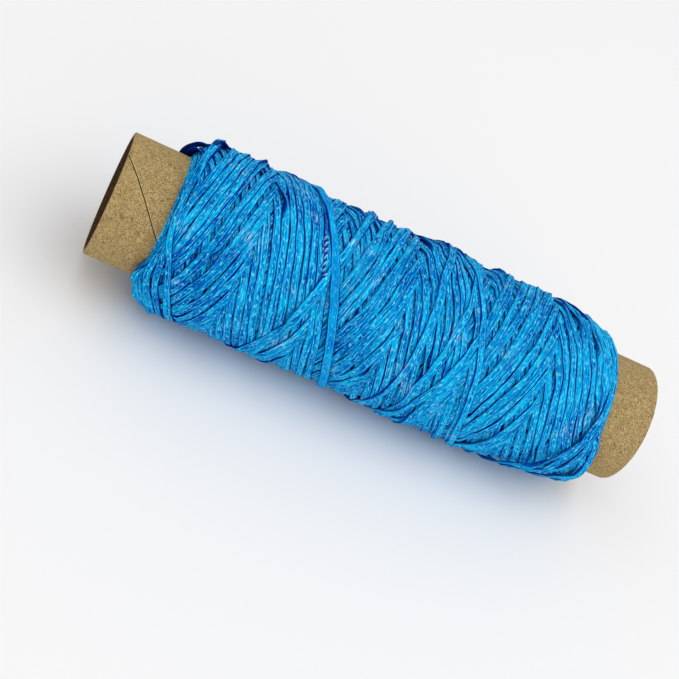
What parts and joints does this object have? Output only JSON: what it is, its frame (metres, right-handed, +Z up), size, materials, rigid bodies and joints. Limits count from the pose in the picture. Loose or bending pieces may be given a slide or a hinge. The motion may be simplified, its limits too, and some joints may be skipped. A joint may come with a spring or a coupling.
{
  "type": "waxed thread spool",
  "caption": "Spool of flat waxed thread for hand-sewing leather, cross-wound in chevrons on a spiral-wound kraft paper tube that is bare at both ends.",
  "frame": {"origin": "centre of the tube's bore, halfway along the tube", "axes": "+X along the bore axis, from the end with the longer bare stub to the other; +Z up, with the spool lying on its side"},
  "size_m": [0.115, 0.035, 0.0348],
  "materials": {
    "kraft_liner": "matte",
    "kraft_board": "matte",
    "waxed_thread": "satin"
  },
  "bodies": {
    "root": {"core_inner_ply": "kraft_liner", "core_middle_ply": "kraft_board", "core_outer_ply": "kraft_board", "thread_inner_layers": "waxed_thread", "thread_outer_layer": "waxed_thread"}
  },
  "joints": []
}
